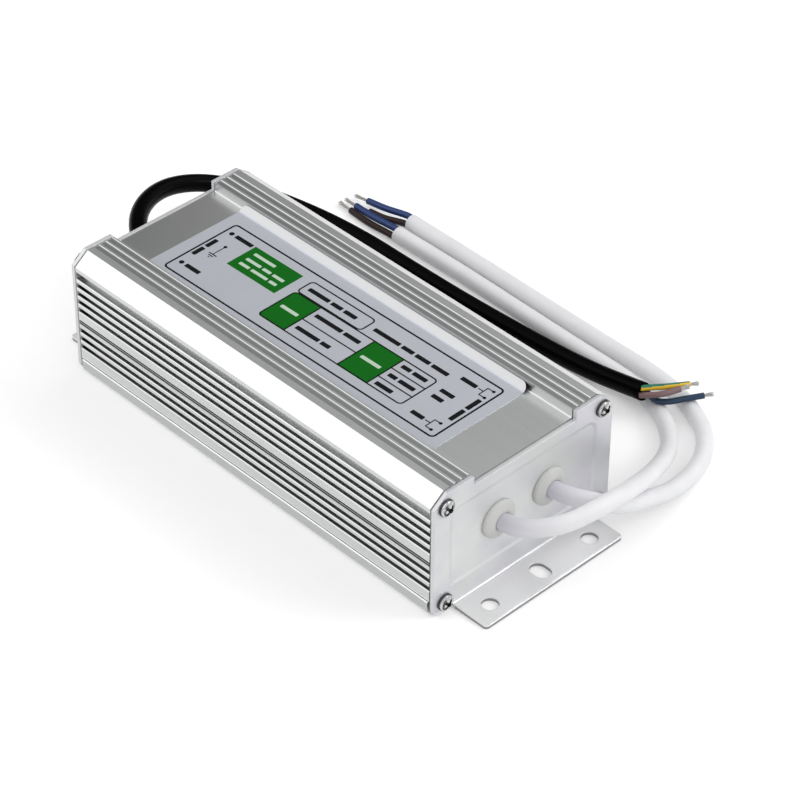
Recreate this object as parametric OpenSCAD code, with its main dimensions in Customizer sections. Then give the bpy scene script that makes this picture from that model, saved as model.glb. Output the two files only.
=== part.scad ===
// Sealed LED driver: a finned extruded case closed by two screwed end plates with mounting feet,
// a potted circuit inside, one mains lead at the input end and two low-voltage leads at the output end.
// Millimetres, +Z up. X runs along the case and +X is the output end. The feet stand on z = 0.

/* [Case] */
// Length of the finned extrusion
housing_l = 150; // [110:1:220]
// Width over the fins
case_w = 70; // [66:0.5:90]
// Height over the top rails
case_h = 43; // [42:0.5:60]
// Width of the sloped shoulder beside each rail
shoulder_w = 5; // [3:0.1:6]
// Height of the sloped shoulder beside each rail
shoulder_h = 3.8; // [2:0.1:4]
// Width of the label channel between the rails
channel_w = 40; // [36:0.5:42]
// Depth of the label channel below the rails
channel_d = 3; // [1.5:0.1:3.4]
// Fillet in the corners of the channel
channel_fillet = 0.5; // [0.3:0.1:1.4]
// Thickness of the roof under the channel
roof_t = 2; // [1.5:0.1:3]
// Thickness of the side wall behind the fin grooves
wall_t = 1.8; // [1.2:0.1:2.4]

/* [Fins] */
// Depth of the fin grooves
groove_d = 2.2; // [1:0.1:2.6]
// Height of one fin groove
groove_h = 1.45; // [0.8:0.05:1.9]
// Pitch of the fins
fin_pitch = 3; // [2.7:0.05:3.1]
// Plain band under the lowest groove
low_band = 4; // [3:0.1:5]
// Number of grooves in the lower group
low_grooves = 3; // [1:1:4]
// Rib between a group of grooves and the next single groove
fin_rib = 1.5; // [1:0.1:2]
// Height of the band with two fine grooves between the groups
shallow_h = 1.8; // [1:0.1:2.2]
// Depth of the fine grooves
shallow_d = 0.7; // [0.3:0.1:1.2]
// Plain band above the fine grooves
mid_band = 3; // [2:0.1:4]
// Number of grooves in the upper group
high_grooves = 4; // [1:1:5]
// Height of the wide groove under the shoulder
wide_h = 2.5; // [1.5:0.1:3]
// Plain band between the wide groove and the shoulder
top_band = 1.75; // [1.2:0.05:2.5]
// Chamfer on the outer edges of the fins
fin_edge = 0.25; // [0.1:0.05:0.3]
// Width of the grooves on top of the rails
rail_groove_w = 1.65; // [0.8:0.05:1.9]
// Depth of the grooves on top of the rails
rail_groove_d = 0.3; // [0.2:0.1:1.2]
// Width of the sloping sides of the rail grooves
rail_groove_side = 0.3; // [0.1:0.05:0.3]
// Pitch of the grooves on top of the rails
rail_pitch = 2.6; // [2.2:0.05:2.7]
// Number of grooves on each rail
rail_grooves = 3; // [1:1:3]

/* [Base tray] */
// Thickness of the tray floor
tray_t = 1.6; // [1:0.1:2]
// Height of the tray lips
lip_h = 4.75; // [4:0.05:5]
// Thickness of the tray lips
lip_t = 1.5; // [1:0.1:1.6]
// Radius of the lower edges of the tray
tray_r = 2; // [0.5:0.1:2.4]
// Width of the eased outer edge of the tray lip
lip_edge = 0.3; // [0.1:0.05:0.5]
// Visible gap between the tray lips and the extrusion above
seam_gap = 0.5; // [0.2:0.05:0.8]
// How much shorter the tray is than the extrusion
tray_short = 0.7; // [0.2:0.1:1.5]
// Clearance between the tray lips and the wall inside them
slide_clear = 0.1; // [0.05:0.05:0.3]

/* [End plates] */
// Thickness of the end plates
plate_t = 1.2; // [1:0.1:2.5]
// Thickness of the gaskets under the end plates
gasket_t = 0.5; // [0.3:0.1:1]
// How far the gasket stays inside the edge of the plate
gasket_inset = 0.3; // [0.1:0.05:0.6]
// Radius of the lower corners of the plate
plate_r = 3; // [1:0.1:3.4]
// Depth of the pressed panel in the plate
panel_press = 0.35; // [0.1:0.05:0.4]
// Width of the sloping sides of the pressed panel
panel_slope = 1.2; // [0.6:0.1:2]
// How far the pressed panel stays inside the sides of the plate
panel_in = 6; // [5:0.1:10]
// Lower edge of the pressed panel
panel_low = 8; // [7.5:0.1:10]
// Distance of the pressed panel below the rails
panel_down = 7; // [6:0.1:9]
// Corner radius of the pressed panel
panel_r = 4; // [3:0.1:6]

/* [Feet] */
// Length of the foot in front of the plate
foot_l = 13.3; // [11:0.1:20]
// How far the foot stays inside the sides of the case
foot_in = 7.5; // [7:0.1:11]
// Corner radius of the foot
foot_r = 1.2; // [0.5:0.1:4]
// Inside radius of the bend
bend_r = 0.7; // [0.4:0.1:1.2]
// Diameter of the round mounting holes
mount_hole_d = 5.2; // [4:0.1:5.6]
// Distance between the two round holes across the foot
mount_span_y = 40; // [30:0.5:42]
// Distance of the mounting holes from the plate
mount_out = 7.3; // [5.5:0.1:8]
// End-to-end length of the middle slot
slot_l = 7; // [5.8:0.1:8]
// Width of the middle slot
slot_w = 5.2; // [4:0.1:5.6]
// Width of the relief cut beside the bend
relief_w = 0.8; // [0.4:0.1:1.2]

/* [Screws] */
// Diameter of the screw shank
screw_d = 3; // [2.5:0.1:3.2]
// Clearance round the screws
screw_clear = 0.05; // [0.02:0.01:0.2]
// Length of the screw under its head
screw_l = 10; // [8:0.5:14]
// Diameter of the screw head
head_d = 5; // [4.6:0.1:5.6]
// Height of the screw head
head_h = 1.5; // [1.4:0.1:2]
// Length of each arm of the cross recess
recess_l = 3.2; // [2.4:0.1:3.6]
// Width of each arm of the cross recess
recess_w = 0.9; // [0.5:0.1:1]
// Depth of the cross recess
recess_d = 1; // [0.6:0.1:1.2]
// Thickness of the spring washers
washer_t = 0.6; // [0.4:0.1:1]
// Outer diameter of the spring washers
washer_d = 5.4; // [5.2:0.1:6]
// Distance of the screws from the sides of the case
screw_in = 4.25; // [3.8:0.05:4.6]
// Height of the lower screws
screw_low = 4.1; // [4:0.05:4.6]
// Distance of the upper screws below the rails
screw_down = 4.5; // [4.4:0.05:4.8]

/* [Cable entries] */
// Height of the cable entries
entry_z = 22; // [20:0.5:24]
// Distance between the two output entries
output_pitch = 20; // [16:0.5:24]
// Diameter of the grommet flange
flange_d = 12.2; // [10:0.1:13]
// Thickness of the grommet flange
flange_t = 2.2; // [1.2:0.1:3]
// Diameter of the grommet neck
neck_d = 8; // [7.4:0.1:9]
// Diameter of the inner grommet flange
inner_flange_d = 9.8; // [9.2:0.1:11]
// Clearance between the cable, the grommet and the plate
entry_clear = 0.1; // [0.05:0.05:0.25]

/* [Cables] */
// Diameter of the output cables
output_cable_d = 5.4; // [4.8:0.1:5.6]
// Diameter of the input cable
input_cable_d = 5.8; // [5.2:0.1:6]
// Diameter of an input core
core_d = 1.9; // [1.4:0.1:2]
// Diameter of an output core
out_core_d = 2.2; // [1.6:0.1:2.3]
// Diameter of the bare tinned ends
tip_d = 1.2; // [0.6:0.1:1.4]

/* [Label] */
// Distance of the label from the output end of the extrusion
label_out_gap = 16.8; // [8:0.1:30]
// Distance of the label from the input end of the extrusion
label_in_gap = 13.2; // [8:0.1:30]
// Thickness of the label
label_t = 0.15; // [0.1:0.05:0.3]
// Corner radius of the label
label_r = 2.5; // [1:0.1:5]
// Width of the far edge of the label that leans on the channel wall
label_lean_w = 2.7; // [2:0.1:3]
// Radius of the bend where the far edge turns up
label_curl_r = 1.5; // [1:0.1:2]
// Angle of the leaning edge
label_curl_deg = 48; // [20:1:52]
// Gap between the label and the near channel wall
label_gap = 1; // [0.6:0.1:3]

/* [Circuit] */
// Distance of the circuit board from the ends of the extrusion
board_end = 6; // [5:0.1:15]
// Thickness of the circuit board
board_t = 1.6; // [1.2:0.1:1.7]
// Gap between the lower screw ports and the circuit board
board_gap = 1.7; // [0.5:0.05:2.4]
// Clearance of the board in its slots
board_clear = 0.2; // [0.1:0.05:0.3]
// Height of the potting compound above the board
potting_over = 4.4; // [2:0.1:8]
// Size of the transformer core along the case
core_x = 30; // [24:0.5:34]
// Size of the transformer core across the case
core_y = 12; // [8:0.5:14]
// Gap above the transformer core
core_gap = 3.4; // [1:0.1:8]
// Diameter of the bulk capacitor
bulk_d = 18; // [12:0.5:20]
// Gap above the bulk capacitor
bulk_gap = 2.4; // [1:0.1:8]
// Diameter of the output capacitors
outcap_d = 10; // [6:0.5:11]
// Gap above the output capacitors
outcap_gap = 8.4; // [2:0.1:14]
// Thickness of the heat spreader bar
spreader_t = 3; // [2:0.1:4]
// Distance of the heat spreader bar from the ends of the board
spreader_end = 27; // [20:0.5:40]

/* [Hidden] */
$fn = 64;
hw = case_w / 2;
floor_z = case_h - channel_d;
roof_z = floor_z - roof_t;
inner_y = hw - groove_d - wall_t;
rebate_y = hw - lip_t - slide_clear;
wall_foot_z = tray_t;
skirt_z = lip_h + seam_gap;
shoulder_y = hw - shoulder_w;
shoulder_z = case_h - shoulder_h;
rail_in = channel_w / 2;
screw_y = hw - screw_in;
screw_high = case_h - screw_down;
screw_bore_r = screw_d / 2 + screw_clear;
boss_low_r = 2.2;
boss_high_r = 3.2;
rib_in = 1.8;
rib_h = 1.2;
bead_z = lip_h - 1.25;
// The bands, ribs and grooves share out the height between the skirt and the shoulder
low_stack = (low_grooves - 1) * fin_pitch + groove_h + fin_rib;
high_stack = (high_grooves - 1) * fin_pitch + groove_h + fin_rib;
fin_stack = low_band + low_stack + shallow_h + mid_band + high_stack + wide_h + top_band;
fin_scale = (shoulder_z - skirt_z) / fin_stack;
low_z = skirt_z + low_band * fin_scale;
shallow_z = low_z + low_stack * fin_scale;
high_z = shallow_z + (shallow_h + mid_band) * fin_scale;
wide_z = high_z + high_stack * fin_scale;
panel_half_w = hw - panel_in;
panel_high = case_h - panel_down;
foot_w = 2 * (hw - foot_in);
board_w = 2 * (inner_y - board_clear);
board_l = housing_l - 2 * board_end;
board_z = screw_low + boss_low_r + board_gap;
board_top = board_z + board_t;
room_z = roof_z - board_top;
core_z = room_z - core_gap;
bulk_h = room_z - bulk_gap;
outcap_h = room_z - outcap_gap;
spreader_l = board_l - 2 * spreader_end;
// Parts on the board keep their share of its length, its width and the height above it
sx = board_l / 138;
sy = board_w / 61.6;
sz = room_z / 28.4;
potting_z = board_top + potting_over;
end_x = housing_l / 2;
plate_in_x = end_x + gasket_t;
plate_x = plate_in_x + plate_t;
foot_x = plate_x + foot_l;
mount_x = plate_x + mount_out;
neck_in_x = plate_in_x;
neck_out_x = plate_x - panel_press;
relief_z = plate_t + bend_r + 1.3;
spreader_y = inner_y - 0.1;
label_z = floor_z + 0.03;
label_l = housing_l - label_out_gap - label_in_gap;
label_x = (label_in_gap - label_out_gap) / 2;
label_near = -rail_in + label_gap;
label_flat = rail_in - label_lean_w;
label_rise = (label_lean_w - 0.1 - label_curl_r * sin(label_curl_deg)) / cos(label_curl_deg);
label_w = label_flat - label_near;

// Fixed part of each cable inside the case, then its run to the cut end
lead_in = 8;
wire_d = 1.8;
out_shift = plate_x - 76.7;
out_up = entry_z - 22;
out_lie = output_cable_d / 2 + 0.1;
in_lie = input_cable_d / 2 + 0.1;
ride = output_cable_d - 5.4;
exit_x = neck_out_x + flange_t + 0.15;
near_y = -output_pitch / 2;
far_y = output_pitch / 2;
near_run = [
    [plate_x - lead_in, near_y, entry_z], [exit_x, near_y, entry_z],
    [84 + out_shift, near_y + 1, 22.6 + out_up], [88.8 + out_shift, -5.9, 23.7 + out_up],
    [93.2 + out_shift, -0.1, 24.8 + out_up],
    [95.2 + out_shift, 8.2, 25.5 + out_up + ride], [95 + out_shift, 17.8, 24.4 + out_up + ride],
    [92.4 + out_shift, 27.3, 20.8 + ride], [88.9 + out_shift, 37.1, 16.5], [84.4 + out_shift, 46.4, 11.6],
    [79.6 + out_shift, 56, 7.5], [73.6, 64.8, 4.4], [65.4, 72, out_lie + 0.2], [55.2, 76.7, out_lie],
    [43, 78.7, out_lie], [20, 79.2, out_lie], [-5, 79.8, out_lie], [-30, 80.3, out_lie],
    [-57.5, 80.2, out_lie]
];
far_run = [
    [plate_x - lead_in, far_y, entry_z], [exit_x, far_y, entry_z],
    [82.8 + out_shift, far_y + 1, 21.9 + out_up], [86.9 + out_shift, 13.8, 21.1 + out_up],
    [90 + out_shift, 18.3, 19], [91.5 + out_shift, 25.6, 15.1],
    [90.9 + out_shift, 35.2, 10.9], [89.7 + out_shift, 46.9, 6.2], [87.2 + out_shift, 58.6, 3.4],
    [83.4, 68.6, out_lie], [76.8, 76.6, out_lie], [68, 81.8, out_lie], [57.5, 85.2, out_lie],
    [46, 86.6, out_lie], [25, 86.8, out_lie], [0, 87.2, out_lie], [-30, 87.7, out_lie], [-59.2, 87.9, out_lie]
];
input_run = [
    [-plate_x + lead_in, 0, entry_z], [-exit_x, 0, entry_z], [-86.6 - out_shift, 1, 22.2 + out_up],
    [-95 - out_shift, 5.2, 22.2 + out_up], [-102.5 - out_shift, 12.2, 21.7 + out_up],
    [-108 - out_shift, 21.4, 20.3],
    [-110.8 - out_shift, 31.5, 17.8], [-110 - out_shift, 42, 14.5], [-105.5 - out_shift, 51.5, 10.9],
    [-97.7, 59.3, 7.5], [-87.5, 65, 4.8], [-75.5, 68.6, 3.3], [-60, 70, in_lie], [-40, 70.1, in_lie],
    [-18, 70.4, in_lie], [4, 71.4, in_lie], [22, 72.4, 3.3], [38, 72.8, 5], [56.2, 72.35, 9.1]
];
// Cores as routes from the cut face: the first step follows the jacket
near_cut = near_run[len(near_run) - 1];
near_dir = unit(near_cut - near_run[len(near_run) - 2]);
near_blue_at = near_cut + 0.9 * side_of(near_dir) + [0, 0, 0.8];
near_brown_at = near_cut - 0.9 * side_of(near_dir) - [0, 0, 0.9];
near_blue = [near_blue_at, near_blue_at + 2.5 * near_dir, [-70, 81.2, 2.7], [-78.7, 82.1, 1.9]];
near_brown = [near_brown_at, near_brown_at + 2.5 * near_dir, [-70, 78.6, 1.4], [-78.9, 79.4, 1.3]];
far_cut = far_run[len(far_run) - 1];
far_dir = unit(far_cut - far_run[len(far_run) - 2]);
far_blue_at = far_cut + 0.9 * side_of(far_dir) + [0, 0, 0.8];
far_brown_at = far_cut - 0.9 * side_of(far_dir) - [0, 0, 0.9];
far_blue = [far_blue_at, far_blue_at + 2.5 * far_dir, [-70, 87.3, 2.8], [-78.1, 86.8, 1.9]];
far_brown = [far_brown_at, far_brown_at + 2.5 * far_dir, [-68.5, 85.3, 1.4], [-74.6, 84.4, 1.3]];
cut_dir = unit(input_run[18] - input_run[17]);
cut_up = unit(cross(cross(cut_dir, [0, 0, 1]), cut_dir));
cut_side = cross(cut_dir, cut_up);
in_earth_at = input_run[18] + 1.35 * cut_up;
in_brown_at = input_run[18] - 0.65 * cut_up + 1.12 * cut_side;
in_blue_at = input_run[18] - 0.65 * cut_up - 1.12 * cut_side;
in_earth = [in_earth_at, in_earth_at + 0.8 * cut_dir, [59.8, 78.1, 10], [63.2, 84.7, 9.2]];
in_brown = [in_brown_at, in_brown_at + 0.8 * cut_dir, [61.1, 74.8, 9.7], [63.3, 80.5, 9.8]];
in_blue = [
    in_blue_at, in_blue_at + 0.2 * cut_dir, [59.2, 74.2, 6.6], [62.4, 76.6, 6.6],
    [65, 81.4, 6.6], [67.9, 86.2, 6.8]
];
tip_l = 6;
in_tip_l = 3;
// Wound rings on the board: place, diameter and height
choke_ring = [-50, -16, 20, 11];
inductor_ring = [30, -14, 18, 10];

function unit(v) = v / norm(v);
function tangent(p, i) = unit(p[min(i + 1, len(p) - 1)] - p[max(i - 1, 0)]);
function heading(p, i) = i == 1 ? unit(p[1] - p[0]) : tangent(p, i);
function side_of(t) = unit(cross(t, [0, 0, 1]));

// Tube swept along a route, one ring at each point of the route
module tube(p, d, sides) {
    n = len(p);
    pts = [
        for (i = [0 : n - 1])
            let (t = heading(p, i), s = side_of(t), u = cross(s, t))
                for (k = [0 : sides - 1])
                    p[i] + d / 2 * (cos(360 * k / sides) * s + sin(360 * k / sides) * u)
    ];
    walls = [
        for (i = [0 : n - 2])
            for (k = [0 : sides - 1])
                let (a = i * sides + k, b = i * sides + (k + 1) % sides)
                    each [[a, b, b + sides], [a, b + sides, a + sides]]
    ];
    first = [for (k = [sides - 1 : -1 : 0]) k];
    last = [for (k = [0 : sides - 1]) (n - 1) * sides + k];
    polyhedron(points = pts, faces = concat(walls, [first], [last]), convexity = 8);
}

// Round bar from one point to another
module rod(a, b, d) {
    v = b - a;
    l = norm(v);
    translate(a)
        rotate([0, acos(v[2] / l), atan2(v[1], v[0])])
            cylinder(h = l, d = d, $fn = 32);
}

// Bare strands that follow a core's last step
module core_tip(p, l) {
    n = len(p);
    rod(p[n - 1], p[n - 1] + l * unit(p[n - 1] - p[n - 2]), tip_d);
}

// Flat drawing in Y and Z pulled along X from x0
module along_x(x0, l) {
    translate([x0, 0, 0])
        rotate([90, 0, 90])
            linear_extrude(height = l)
                children();
}

// The input end is the output end turned half way round
module input_end() {
    rotate([0, 0, 180])
        children();
}

function groove(z0, h, d) = [
    [hw, z0 - fin_edge], [hw - fin_edge, z0], [hw - d, z0],
    [hw - d, z0 + h], [hw - fin_edge, z0 + h], [hw, z0 + h + fin_edge]
];
function fine_groove(z0, h) = [
    [hw, z0], [hw - shallow_d, z0], [hw - shallow_d, z0 + h], [hw, z0 + h]
];
function groove_rows(z0, n) = [
    for (i = [0 : n - 1]) each groove(z0 + i * fin_pitch * fin_scale, groove_h * fin_scale, groove_d)
];
function rail_groove(y) = [
    [y + (rail_groove_w + rail_groove_side) / 2, case_h],
    [y + (rail_groove_w - rail_groove_side) / 2, case_h - rail_groove_d],
    [y - (rail_groove_w - rail_groove_side) / 2, case_h - rail_groove_d],
    [y - (rail_groove_w + rail_groove_side) / 2, case_h]
];
function rail_groove_y(i) = rail_in + 0.6 + rail_groove_w / 2 + (rail_grooves - 1 - i) * rail_pitch;

// Right-hand outline of the extrusion, from the foot of the wall up and round to the channel
side_outline = concat(
    [[rebate_y, wall_foot_z], [rebate_y, bead_z - 0.5], [rebate_y - 0.45, bead_z]],
    [[rebate_y, bead_z + 0.5], [rebate_y, skirt_z]],
    [[hw - fin_edge, skirt_z], [hw, skirt_z + fin_edge]],
    groove_rows(low_z, low_grooves),
    fine_groove(shallow_z + 0.2 * shallow_h * fin_scale, 0.28 * shallow_h * fin_scale),
    fine_groove(shallow_z + 0.67 * shallow_h * fin_scale, 0.28 * shallow_h * fin_scale),
    groove_rows(high_z, high_grooves),
    groove(wide_z, wide_h * fin_scale, groove_d),
    [[hw, shoulder_z], [shoulder_y, case_h]],
    [for (i = [0 : rail_grooves - 1]) each rail_groove(rail_groove_y(i))],
    [[rail_in, case_h], [rail_in, floor_z]]
);
// Right-hand outline of the space inside, stepped up under the rails and cut back round the upper screw
inner_outline = [
    [inner_y, -1], [inner_y, screw_high - boss_high_r - 0.8], [screw_y - 2.2, screw_high - 2.4],
    [screw_y - boss_high_r, screw_high - 0.6], [screw_y - boss_high_r, case_h - rail_groove_d - 1.8],
    [rail_in + 1.8, case_h - rail_groove_d - 1.8], [rail_in + 1.8, roof_z]
];

// Right-hand outline of the space inside the tray, with the snap bead on the lip
tray_inside = [
    [hw - lip_t, tray_t], [hw - lip_t, bead_z - 0.3], [hw - lip_t - 0.3, bead_z],
    [hw - lip_t, bead_z + 0.3], [hw - lip_t, lip_h + 1]
];

// A right-hand outline and its mirror image as one closed shape
module both_sides(p) {
    n = len(p);
    polygon(concat(p, [for (i = [n - 1 : -1 : 0]) [-p[i][0], p[i][1]]]));
}

module low_bosses() {
    for (s = [-1, 1])
        translate([s * screw_y, screw_low])
            circle(r = boss_low_r);
}

module board_ribs() {
    for (s = [-1, 1])
        for (z = [board_z - rib_h, board_top + board_clear])
            translate([s * (inner_y - rib_in / 2 + 0.1), z + rib_h / 2])
                square([rib_in + 0.2, rib_h], center = true);
}

module screw_bores(r) {
    for (s = [-1, 1])
        for (z = [screw_low, screw_high])
            translate([s * screw_y, z])
                circle(r = r);
}

// Finned extrusion: roof, rails, channel, fins, four screw ports and the board slots in one drawn profile
module housing() {
    color([0.80, 0.81, 0.82])
        along_x(-end_x, housing_l)
            difference() {
                union() {
                    difference() {
                        both_sides(side_outline);
                        both_sides(inner_outline);
                    }
                    low_bosses();
                    board_ribs();
                    for (s = [-1, 1])
                        translate([s * (rail_in - channel_fillet / 2), floor_z + channel_fillet / 2])
                            difference() {
                                square(channel_fillet, center = true);
                                translate([-s * channel_fillet / 2, channel_fillet / 2])
                                    circle(r = channel_fillet);
                            }
                }
                screw_bores(screw_bore_r);
            }
}

// Base tray: a second extrusion, pushed on from the end and held by beads that snap into the wall
module base_tray() {
    color([0.76, 0.77, 0.78])
        along_x(-end_x, housing_l - tray_short)
            difference() {
                union() {
                    translate([-hw, tray_r])
                        square([2 * hw, lip_h - tray_r]);
                    translate([-hw + tray_r, 0])
                        square([2 * (hw - tray_r), lip_h]);
                    for (s = [-1, 1])
                        translate([s * (hw - tray_r), tray_r])
                            circle(r = tray_r);
                }
                both_sides(tray_inside);
                for (s = [-1, 1])
                    polygon([
                        [s * (hw - lip_edge), lip_h], [s * hw, lip_h - lip_edge],
                        [s * (hw + 1), lip_h - lip_edge], [s * (hw + 1), lip_h + 1],
                        [s * (hw - lip_edge), lip_h + 1]
                    ]);
            }
}

// Outline shared by the end plates and gaskets, smaller by i all round
module end_outline(i) {
    w = hw - i;
    difference() {
        union() {
            translate([-w, i + plate_r])
                square([2 * w, case_h - 2 * i - plate_r]);
            translate([-w + plate_r, i])
                square([2 * (w - plate_r), plate_r + 1]);
            for (s = [-1, 1])
                translate([s * (w - plate_r), i + plate_r])
                    circle(r = plate_r);
        }
        translate([-rail_in - i, floor_z - i])
            square([channel_w + 2 * i, channel_d + 1 + i]);
        for (s = [-1, 1])
            polygon([
                [s * (hw + 1), shoulder_z - 1.25 * i], [s * (hw - i), shoulder_z - 1.25 * i + 0.22 * i],
                [s * (shoulder_y - 0.5 * i), case_h - i], [s * (shoulder_y - 0.5 * i), case_h + 1],
                [s * (hw + 1), case_h + 1]
            ]);
    }
}

// Rounded rectangle by its edges
module rounded(y0, y1, z0, z1, r) {
    translate([y0 + r, z0])
        square([y1 - y0 - 2 * r, z1 - z0]);
    translate([y0, z0 + r])
        square([y1 - y0, z1 - z0 - 2 * r]);
    for (y = [y0 + r, y1 - r])
        for (z = [z0 + r, z1 - r])
            translate([y, z])
                circle(r = r);
}

// Gasket: a flat silicone frame clamped between the plate and the cut end of the case
module gasket() {
    along_x(end_x, gasket_t)
        difference() {
            end_outline(gasket_inset);
            rounded(-inner_y + 4, inner_y - 4, board_z + 1, roof_z - 4, 2);
            screw_bores(screw_bore_r + 0.2);
        }
}

// Foot: the lower edge of the plate bent outwards, with two round holes and a slot between them
module foot() {
    bend_o = bend_r + plate_t;
    difference() {
        union() {
            translate([plate_in_x, -foot_w / 2, bend_o])
                cube([plate_t, foot_w, relief_z - bend_o]);
            intersection() {
                translate([plate_in_x + bend_o, foot_w / 2, bend_o])
                    rotate([90, 0, 0])
                        difference() {
                            cylinder(r = bend_o, h = foot_w);
                            translate([0, 0, -1])
                                cylinder(r = bend_r, h = foot_w + 2);
                        }
                translate([plate_in_x, -foot_w / 2, 0])
                    cube([bend_o, foot_w, bend_o]);
            }
            translate([plate_in_x + bend_o, -foot_w / 2, 0])
                cube([foot_x - foot_r - plate_in_x - bend_o, foot_w, plate_t]);
            translate([foot_x - foot_r - 0.5, -foot_w / 2 + foot_r, 0])
                cube([foot_r + 0.5, foot_w - 2 * foot_r, plate_t]);
            for (s = [-1, 1])
                translate([foot_x - foot_r, s * (foot_w / 2 - foot_r), 0])
                    cylinder(r = foot_r, h = plate_t);
        }
        for (s = [-1, 1])
            translate([mount_x, s * mount_span_y / 2, -1])
                cylinder(d = mount_hole_d, h = plate_t + 2);
        for (s = [-1, 1])
            translate([mount_x + s * (slot_l - slot_w) / 2, 0, -1])
                cylinder(d = slot_w, h = plate_t + 2);
        translate([mount_x - (slot_l - slot_w) / 2, -slot_w / 2, -1])
            cube([slot_l - slot_w, slot_w, plate_t + 2]);
    }
}

// Shallow panel with sloping sides that widen towards the face of the plate
module panel_cutter() {
    over = 0.2;
    wider = over * panel_slope / panel_press;
    flat_y = panel_half_w - panel_r;
    in_x = plate_x - panel_press;
    out_x = plate_x + over;
    translate([0, flat_y, 0])
        rotate([90, 0, 0])
            linear_extrude(height = 2 * flat_y)
                polygon([
                    [in_x, panel_low + panel_slope], [out_x, panel_low - wider],
                    [out_x, panel_high + wider], [in_x, panel_high - panel_slope]
                ]);
    translate([0, 0, panel_low + panel_r])
        linear_extrude(height = panel_high - panel_low - 2 * panel_r)
            polygon([
                [in_x, -panel_half_w + panel_slope], [out_x, -panel_half_w - wider],
                [out_x, panel_half_w + wider], [in_x, panel_half_w - panel_slope]
            ]);
    for (s = [-1, 1])
        for (z = [panel_low + panel_r, panel_high - panel_r])
            translate([in_x, s * flat_y, z])
                rotate([0, 90, 0])
                    cylinder(r1 = panel_r - panel_slope, r2 = panel_r + wider, h = panel_press + over);
}

// End plate: blanked sheet with a coined panel, screw holes, cable holes and the bent foot
module end_plate(entries) {
    difference() {
        along_x(plate_in_x, plate_t)
            end_outline(0);
        panel_cutter();
        along_x(plate_in_x - 1, plate_t + 2)
            screw_bores(screw_d / 2 + 0.2);
        translate([plate_in_x - 1, -foot_w / 2 - relief_w, -1])
            cube([plate_t + 2, foot_w + 2 * relief_w, relief_z + 1]);
        for (y = entries)
            translate([plate_in_x - 1, y, entry_z])
                rotate([0, 90, 0])
                    cylinder(d = neck_d + 2 * entry_clear, h = plate_t + 3);
    }
    foot();
}

module output_gasket() {
    color([0.86, 0.86, 0.83])
        gasket();
}

module input_gasket() {
    color([0.86, 0.86, 0.83])
        input_end()
            gasket();
}

module output_plate() {
    color([0.83, 0.83, 0.85])
        end_plate([near_y, far_y]);
}

module input_plate() {
    color([0.83, 0.83, 0.85])
        input_end()
            end_plate([0]);
}

// Pan head screw pointing into the case, head outwards, with a cross recess
module screw() {
    rotate([0, 90, 0])
        difference() {
            union() {
                translate([0, 0, -screw_l])
                    cylinder(d = screw_d, h = screw_l + 0.2);
                intersection() {
                    cylinder(d = head_d, h = head_h);
                    translate([0, 0, head_h - 3.6])
                        sphere(r = 3.6);
                }
            }
            for (a = [45, 135])
                rotate([0, 0, a])
                    translate([-recess_l / 2, -recess_w / 2, head_h - recess_d])
                        cube([recess_l, recess_w, recess_d + 1]);
        }
}

module plate_screws() {
    for (s = [-1, 1])
        for (z = [screw_low, screw_high])
            translate([plate_x + washer_t, s * screw_y, z])
                screw();
}

// Split spring washers under the screw heads
module plate_washers() {
    for (s = [-1, 1])
        for (z = [screw_low, screw_high])
            translate([plate_x, s * screw_y, z])
                rotate([0, 90, 0])
                    difference() {
                        cylinder(d = washer_d, h = washer_t);
                        translate([0, 0, -1])
                            cylinder(d = screw_d + 4 * screw_clear, h = washer_t + 2);
                        translate([0, -0.3, -1])
                            cube([washer_d, 0.6, washer_t + 2]);
                    }
}

module output_screws() {
    color([0.72, 0.73, 0.75])
        plate_screws();
}

module output_washers() {
    color([0.35, 0.35, 0.37])
        plate_washers();
}

module input_screws() {
    color([0.72, 0.73, 0.75])
        input_end()
            plate_screws();
}

module input_washers() {
    color([0.35, 0.35, 0.37])
        input_end()
            plate_washers();
}

// Grommet: a turned shape with a neck in the plate hole and a flange on each face of the plate
module grommet(y, cable_d) {
    br = cable_d / 2 + entry_clear;
    fr = flange_d / 2;
    translate([0, y, entry_z])
        rotate([0, 90, 0])
            rotate_extrude()
                polygon([
                    [br, neck_in_x - 1.2], [inner_flange_d / 2, neck_in_x - 1.2],
                    [inner_flange_d / 2, neck_in_x], [neck_d / 2, neck_in_x],
                    [neck_d / 2, neck_out_x], [fr, neck_out_x],
                    [fr, neck_out_x + 0.3 * flange_t], [fr - 0.3, neck_out_x + 0.5 * flange_t],
                    [fr - 1, neck_out_x + 0.74 * flange_t], [br + 1.1, neck_out_x + flange_t],
                    [br, neck_out_x + flange_t]
                ]);
}

module output_grommet_near() {
    color([0.90, 0.90, 0.87])
        grommet(near_y, output_cable_d);
}

module output_grommet_far() {
    color([0.90, 0.90, 0.87])
        grommet(far_y, output_cable_d);
}

module input_grommet() {
    color([0.15, 0.15, 0.16])
        input_end()
            grommet(0, input_cable_d);
}

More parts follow.
